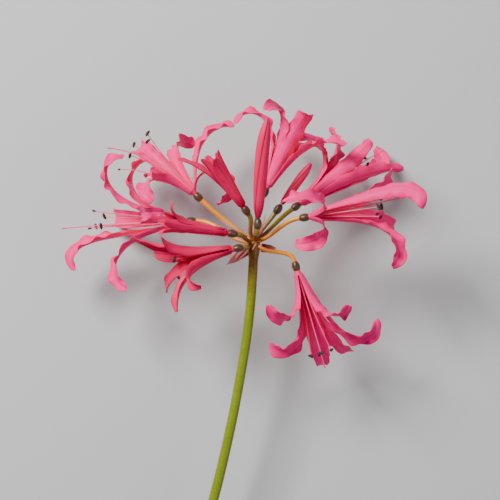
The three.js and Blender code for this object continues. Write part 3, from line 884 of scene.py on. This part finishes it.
# %% [markdown]
# The scape is a bare, fleshy, slightly bowed stem. At its top it swells into the
# head that carries the pedicels. It is a thread with a waist under the head and a
# clean cut at the far end.

# %% The scape
SCAPE_LINE = [
    (0, 1.6, 0), (0, 0.2, 0), (0, -2.5, 0), (-0.3, -8, 0), (-2, -32, 0),
    (-6.5, -62, 0), (-12.5, -92, 0), (-20, -122, 0), (-39, -186, 0), (-60, SCAPE_CUT_Y, 0),
]
SCAPE_WIDTHS = [1.2, 2.7, 2.75, 2.15, 2.15, 2.2, 2.25] + [SCAPE_RADIUS] * 3
scape = thread_object("scape_stem", PLANT, [list(zip(SCAPE_LINE, SCAPE_WIDTHS))])
hand_over(scape, "scape_stem", ["scape"], "scape", SCAPE_SKIN)
scape_end = PLANT @ Vector(SCAPE_LINE[-1])
print("scape:", len(scape.data.polygons), "faces, ends at", [round(v, 3) for v in scape_end])

# %% [markdown]
# Each pedicel leaves the head along its own direction and arrives along the
# flower's axis, so it is one easy curve with two handles. The ovary under the
# flower is a small three-lobed knob: a sphere stretched and grooved.

# %% Pedicels and ovaries
STALK_STEPS = 8
STALK_CLEAR = 0.35
STALK_HANDLE = 0.33
STALK_ROOT_DEPTH = 1.2
STALK_ROOT_RADIUS = 0.95
STALK_TOP_DEPTH = 0.8
STALK_TOP_RADIUS = 1.15
STALK_THIN, STALK_THICKENS = 0.9, 0.16
OVARY_OVERLAP = 0.3
LOBE_MEAN, LOBE_DEPTH = 0.88, 0.06


def make_ovary():
    bpy.ops.object.select_all(action="DESELECT")
    bpy.ops.mesh.primitive_uv_sphere_add(segments=24, ring_count=14, radius=1)
    ovary = bpy.context.object
    bpy.ops.object.mode_set(mode="EDIT")
    bpy.ops.mesh.select_all(action="SELECT")
    bpy.ops.transform.resize(
        value=(OVARY_RADIUS, OVARY_RADIUS, OVARY_LENGTH / 2 + OVARY_OVERLAP)
    )
    bpy.ops.transform.translate(value=(0, 0, -OVARY_LENGTH / 2))
    bpy.ops.object.mode_set(mode="OBJECT")
    for vertex in ovary.data.vertices:
        bearing = math.atan2(vertex.co.y, vertex.co.x)
        lobe = LOBE_MEAN + LOBE_DEPTH * math.cos(3 * bearing)
        vertex.co.x *= lobe
        vertex.co.y *= lobe
    smooth(ovary, SMOOTH_ANGLE)
    return ovary


OVARY_FORM = make_ovary()


def add_stalk_and_ovary(kind, letter, spec):
    local = flower_matrix(spec["place"], spec["heading"], spec["lean"])
    axis = local.col[2].to_3d()
    outward = Vector(spec["start"]).normalized()
    first = outward * (HEAD_RADIUS + GAP + STALK_CLEAR)
    foot = Vector(spec["place"]) - axis * (OVARY_LENGTH + GAP)
    handle = (foot - first).length * STALK_HANDLE
    points = bezier_points(
        first, first + outward * handle, foot - axis * handle, foot, STALK_STEPS
    )
    points = [outward * (HEAD_RADIUS - STALK_ROOT_DEPTH)] + points + [foot + axis * STALK_TOP_DEPTH]
    widths = [
        PEDICEL_RADIUS * (STALK_THIN + STALK_THICKENS * k / STALK_STEPS) for k in range(STALK_STEPS + 1)
    ]
    widths = [STALK_ROOT_RADIUS] + widths + [STALK_TOP_RADIUS]
    name = f"{kind}_{letter}"
    stalk = thread_object(f"{name}_stalk", PLANT, [list(zip(points, widths))])
    hand_over(stalk, f"{name}_stalk", [f"{name}_pedicel"], spec["stalk"], STALK_FINISH[spec["stalk"]])
    ovary = own_copy(OVARY_FORM, f"{name}_seed_pod")
    ovary.data.transform(PLANT @ local)
    hand_over(ovary, f"{name}_seed_pod", [f"{name}_ovary"], "ovary", OVARY)
    return PLANT @ local


# %% [markdown]
# An anther is a small dark pod, balanced across the tip of its filament and split
# along its length. It is made once, from a sphere stretched and pinched along one
# side, and copied to every filament tip.

# %% Anthers
ANTHER_THICKNESS, ANTHER_WIDTH = 0.62, 0.72
SPLIT_FROM, SPLIT_DEPTH = 0.3, 0.28
ANTHER_BOW = 0.35
ANTHER_ROCK = 0.5
FILAMENT_STEPS = 20
FILAMENT_START, FILAMENT_TAPER = 0.95, 0.4
STYLE_STEPS = 28
STYLE_SINK = 1.2
STYLE_TAPER = 0.35
STIGMA_FROM, STIGMA_SWELL = 0.97, 0.5


def make_anther():
    bpy.ops.object.select_all(action="DESELECT")
    bpy.ops.mesh.primitive_uv_sphere_add(segments=12, ring_count=10, radius=1)
    anther = bpy.context.object
    bpy.ops.object.mode_set(mode="EDIT")
    bpy.ops.mesh.select_all(action="SELECT")
    bpy.ops.transform.resize(value=(ANTHER_THICKNESS, ANTHER_WIDTH, ANTHER_LENGTH / 2))
    bpy.ops.object.mode_set(mode="OBJECT")
    for vertex in anther.data.vertices:
        along = vertex.co.z / (ANTHER_LENGTH / 2)
        if vertex.co.x > SPLIT_FROM:
            vertex.co.x -= SPLIT_DEPTH * (1 - along * along)
        vertex.co.x -= ANTHER_BOW * along * along
    smooth(anther, SMOOTH_ANGLE)
    return anther


ANTHER_FORM = make_anther()


def add_threads(letter, matrix, spec):
    lines = []
    pods = []
    for index, row in enumerate(spec["stamens"]):
        turn, length, flare, recurve = row
        bearing = math.radians(turn)
        root = np.array(
            [FILAMENT_ROOT_RADIUS * math.cos(bearing), FILAMENT_ROOT_RADIUS * math.sin(bearing),
             STAMEN_DISC_Z + STAMEN_DISC_HEIGHT / 2]
        )
        s, place, ahead, across, inward = midline(
            root, length, FILAMENT_STEPS, turn, flare, recurve, THREAD_LATE
        )
        widths = FILAMENT_RADIUS * (FILAMENT_START - FILAMENT_TAPER * s)
        lines.append([(place[k], widths[k]) for k in range(0, FILAMENT_STEPS + 1, 2)])
        pod = own_copy(ANTHER_FORM, f"flower_{letter}_pod_{index}")
        tip = Matrix((inward[-1], ahead[-1], across[-1])).transposed().to_4x4()
        rock = Matrix.Rotation(ANTHER_ROCK * math.sin(index * 2.4 + ord(letter)), 4, "X")
        pod.data.transform(matrix @ Matrix.Translation(Vector(place[-1])) @ tip @ rock)
        pods.append(pod)
    threads = thread_object(f"flower_{letter}_filaments", matrix, lines)
    hand_over(threads, f"flower_{letter}_filaments", [f"flower_{letter}_stamens"], "filament", FILAMENT)
    pick(pods[0])
    for pod in pods:
        pod.select_set(True)
    bpy.ops.object.join()
    hand_over(
        bpy.context.object, f"flower_{letter}_anthers", [f"flower_{letter}_stamens"],
        "filament", ANTHER,
    )
    if "style" in spec:
        turn, length, flare, recurve = spec["style"]
        root = np.array([0, 0, STAMEN_DISC_Z + STAMEN_DISC_HEIGHT + GAP])
        s, place = midline(root, length, STYLE_STEPS, turn, flare, recurve, THREAD_LATE)[:2]
        widths = STYLE_RADIUS * (1 - STYLE_TAPER * s + STIGMA_SWELL * (s > STIGMA_FROM))
        line = [((0, 0, STAMEN_DISC_Z - STYLE_SINK), STYLE_RADIUS)]
        line += [(place[k], widths[k]) for k in range(0, STYLE_STEPS + 1, 2)]
        style = thread_object(f"flower_{letter}_style_thread", matrix, [line])
        hand_over(style, f"flower_{letter}_style_thread", [f"flower_{letter}_style"], "filament", FILAMENT)


# %% [markdown]
# The open flowers come together here: stalk, ovary, six petals, the short ring that
# joins them, and the threads. Opening flowers keep their petals rolled almost into a
# tube, so their channel is deeper and their margins are still nearly smooth.

# %% Open and opening flowers
OPEN_CHANNEL = (2.4, 5.5)
OPENING_CHANNEL = (2.2, 3.4)
OPEN_WIDER = 1.14
OPENING_WIDER = 1.45
OPEN_RUFFLE = 0.95
OPENING_RUFFLE = 0.25
RING_HEIGHT = BASE_RING_HEIGHT + 1.0
RING_MIDDLE = GAP + 0.35
RING_ROUNDING = 0.35
RING_FOOT, RING_SPREAD = 0.5, 0.32


def make_ring():
    bpy.ops.object.select_all(action="DESELECT")
    bpy.ops.mesh.primitive_cylinder_add(
        vertices=32, radius=BASE_RING_RADIUS, depth=RING_HEIGHT, location=(0, 0, RING_MIDDLE)
    )
    ring = bpy.context.object
    bpy.ops.object.transform_apply(location=True)
    bpy.ops.object.mode_set(mode="EDIT")
    bpy.ops.mesh.select_all(action="SELECT")
    bpy.ops.mesh.bevel(offset=RING_ROUNDING, segments=3)
    bpy.ops.object.mode_set(mode="OBJECT")
    for vertex in ring.data.vertices:
        taper = RING_FOOT + RING_SPREAD * min(1, max(0, vertex.co.z / (GAP + BASE_RING_HEIGHT)))
        vertex.co.x *= taper
        vertex.co.y *= taper
    smooth(ring, 60)
    return ring


RING_FORM = make_ring()

for letter, spec in OPEN_FLOWERS.items():
    matrix = add_stalk_and_ovary("flower", letter, spec)
    # Opening flowers take the crimson finish, the pink darkened by painted shade.
    opening = spec["petal"] == "crimson_petal"
    for index, row in enumerate(spec["tepals"]):
        row = list(row)
        row[2] *= OPENING_WIDER if opening else OPEN_WIDER
        blade = petal(
            f"flower_{letter}_petal_{index + 1}", matrix, row,
            OPENING_CHANNEL if opening else OPEN_CHANNEL,
            OPENING_RUFFLE if opening else OPEN_RUFFLE, ord(letter) * 1.7 + index * 2.3,
        )
        hand_over(
            blade, blade.name, [f"flower_{letter}_perianth"], spec["petal"], *PETAL_FINISH[spec["petal"]]
        )
    ring = own_copy(RING_FORM, f"flower_{letter}_ring")
    ring.data.transform(matrix)
    hand_over(ring, ring.name, [f"flower_{letter}_perianth"], spec["petal"], PETAL_FINISH[spec["petal"]][1])
    add_threads(letter, matrix, spec)
    print("flower", letter, "at", [round(v, 4) for v in matrix.translation])

# %% [markdown]
# A closed bud is three outer petals wrapped round each other into a spindle, each
# lapping over the next along a long slanting seam. The blank is wrapped round the
# spindle's axis: across becomes round, and the bearing drifts along the bud so that
# the seams slant.

# %% Closed buds
BUD_SKIN = 0.35
BUD_PETALS = 3
PETAL_WRAP = 75
SEAM_SLANT = 60
SEAM_LAP = 0.12
LAYER_STEP = 0.05
CLOSE_FROM, CLOSE_LENGTH = 0.72, 0.285
TIP_HOLE = 0.05
INNER_LAP = 0.07
SWELL_START, SWELL_RATE = 0.2, 0.5
NECK_WIDTH = 0.62
NECK_FROM, NECK_TO = -0.01, 0.1


def bud_petal(name, matrix, spec, index):
    length, radius, hook = spec["length"], spec["radius"], spec["hook"]
    s = BLANK_POINTS[:, 1]
    half = np.array([outline(v) for v in s]) / 2
    share = BLANK_POINTS[:, 0] / half
    swell = np.sin(math.pi * np.minimum(1, SWELL_START + SWELL_RATE * s))
    close = np.sqrt(np.maximum(0, 1 - (np.maximum(0, s - CLOSE_FROM) / CLOSE_LENGTH) ** 2))
    neck = NECK_WIDTH + (1 - NECK_WIDTH) * rise(s, NECK_FROM, NECK_TO)
    wide = radius * swell * np.maximum(TIP_HOLE, close) * neck
    wide = wide * (1 - INNER_LAP + SEAM_LAP * (share + 1) / 2) + LAYER_STEP * index
    bearing = np.radians(360 / BUD_PETALS * index + SEAM_SLANT * s + PETAL_WRAP * share)
    points = np.stack(
        [wide * np.cos(bearing), wide * np.sin(bearing) + hook * s**4, GAP + length * s], 1
    )
    blade = own_copy(BLANK, name)
    blade.data.vertices.foreach_set("co", points.ravel())
    blade.data.transform(matrix)
    bake_modifier(blade, "SOLIDIFY", thickness=BUD_SKIN * MM, offset=-1, use_even_offset=False)
    tidy_skin(blade)
    bake_modifier(blade, "SUBSURF", levels=1, render_levels=1)
    smooth(blade, SMOOTH_ANGLE)
    return blade


for letter, spec in BUDS.items():
    matrix = add_stalk_and_ovary("bud", letter, spec)
    for index in range(BUD_PETALS):
        blade = bud_petal(f"bud_{letter}_petal_{index + 1}", matrix, spec, index)
        hand_over(blade, blade.name, [f"bud_{letter}_tepals"], "crimson_petal", SHADED_CRIMSON_PETAL)
    print("bud", letter, "at", [round(v, 4) for v in matrix.translation])

# %% [markdown]
# Round the head hang the leftovers of the sheath that once held the whole umbel:
# two papery valves and a few threads, dry and curled. They are narrow petals of
# another kind, so the same blank is bent for them, with a tight ruffle.

# %% Withered bracts
BRACT_SKIN = 0.22
BRACT_LATE = 1.2
BRACT_TAPER = 0.75
BRACT_CRUMPLE = 0.16
BRACT_CUP = 0.25

for number, (name, spec) in enumerate(BRACTS.items()):
    local = flower_matrix(spec["place"], spec["heading"], spec["lean"])
    s, place, _, across, inward = midline(
        np.zeros(3), spec["length"], ROWS, 0, spec["flare"], spec["recurve"], BRACT_LATE, 0, spec["twist"]
    )
    step = np.rint(BLANK_POINTS[:, 1] * ROWS).astype(int)
    here = s[step]
    half = spec["width"] / 2 * (1 - BRACT_TAPER * here**2)
    share = BLANK_POINTS[:, 0] / (np.array([outline(v) for v in here]) / 2)
    x = half * share
    z = BRACT_CRUMPLE * half * np.sin(share * 7 + here * 9 + number) + BRACT_CUP * half * share * share
    points = place[step] + across[step] * x[:, None] + inward[step] * z[:, None]
    leaf = own_copy(BLANK, name + "_leaf")
    leaf.data.vertices.foreach_set("co", points.ravel())
    leaf.data.transform(PLANT @ local)
    bake_modifier(leaf, "SOLIDIFY", thickness=BRACT_SKIN * MM, offset=0, use_even_offset=False)
    bake_modifier(leaf, "SUBSURF", levels=1, render_levels=1)
    smooth(leaf, SMOOTH_ANGLE)
    hand_over(leaf, name + "_leaf", [name], "dry_bract", DRY_BRACT)

for form in (BLANK, OVARY_FORM, ANTHER_FORM, RING_FORM):
    bpy.data.objects.remove(form)

# %% [markdown]
# The table is one large pale plane. Light comes soft from the upper left with a
# weak fill from the right, and the camera looks square on to the lying plant from
# above, from far away through a long lens, so nothing is stretched.

# %% Table, light and camera
TABLE_WIDTH = 6
VIEW_CENTRE = (-1.8, -3.2, 0)
VIEW_WIDTH = 225 * MM
CAMERA_DISTANCE = 1.4
SENSOR_WIDTH = 36
SKY_COLOUR = (0.9, 0.93, 1.0, 1)
SKY_STRENGTH = 0.2

bpy.ops.object.select_all(action="DESELECT")
bpy.ops.mesh.primitive_plane_add(size=TABLE_WIDTH)
table = bpy.context.object
table.name = "table_top"
table_finish = bpy.data.materials.new("table_finish")
table_finish.use_nodes = True
table_shader = table_finish.node_tree.nodes["Principled BSDF"]
table_shader.inputs["Base Color"].default_value = screen(186, 186, 186)
table_shader.inputs["Roughness"].default_value = 0.7
table.data.materials.append(table_finish)


def soft_light(name, place, size, power):
    data = bpy.data.lights.new(name, "AREA")
    data.size = size
    data.energy = power
    lamp = bpy.data.objects.new(name, data)
    bpy.context.collection.objects.link(lamp)
    lamp.location = place
    lamp.rotation_euler = (PLANT.translation - Vector(place)).to_track_quat("-Z", "Y").to_euler()


soft_light("key_light", place=(-0.55, 0.6, 0.9), size=0.45, power=25)
soft_light("fill_light", place=(0.9, -0.3, 0.7), size=0.9, power=4)
world = bpy.data.worlds.new("studio")
world.use_nodes = True
world.node_tree.nodes["Background"].inputs[0].default_value = SKY_COLOUR
world.node_tree.nodes["Background"].inputs[1].default_value = SKY_STRENGTH
bpy.context.scene.world = world

camera_data = bpy.data.cameras.new("camera")
camera_data.sensor_width = SENSOR_WIDTH
camera_data.lens = SENSOR_WIDTH * CAMERA_DISTANCE / VIEW_WIDTH
camera = bpy.data.objects.new("camera", camera_data)
bpy.context.collection.objects.link(camera)
turn = PLANT.to_3x3().normalized()
target = PLANT @ Vector(VIEW_CENTRE)
camera.matrix_world = Matrix.Translation(target + turn.col[2] * CAMERA_DISTANCE) @ turn.to_4x4()
bpy.context.scene.camera = camera
print("lens, mm:", round(camera_data.lens, 1))

# %% Update the scene
bpy.context.view_layer.update()
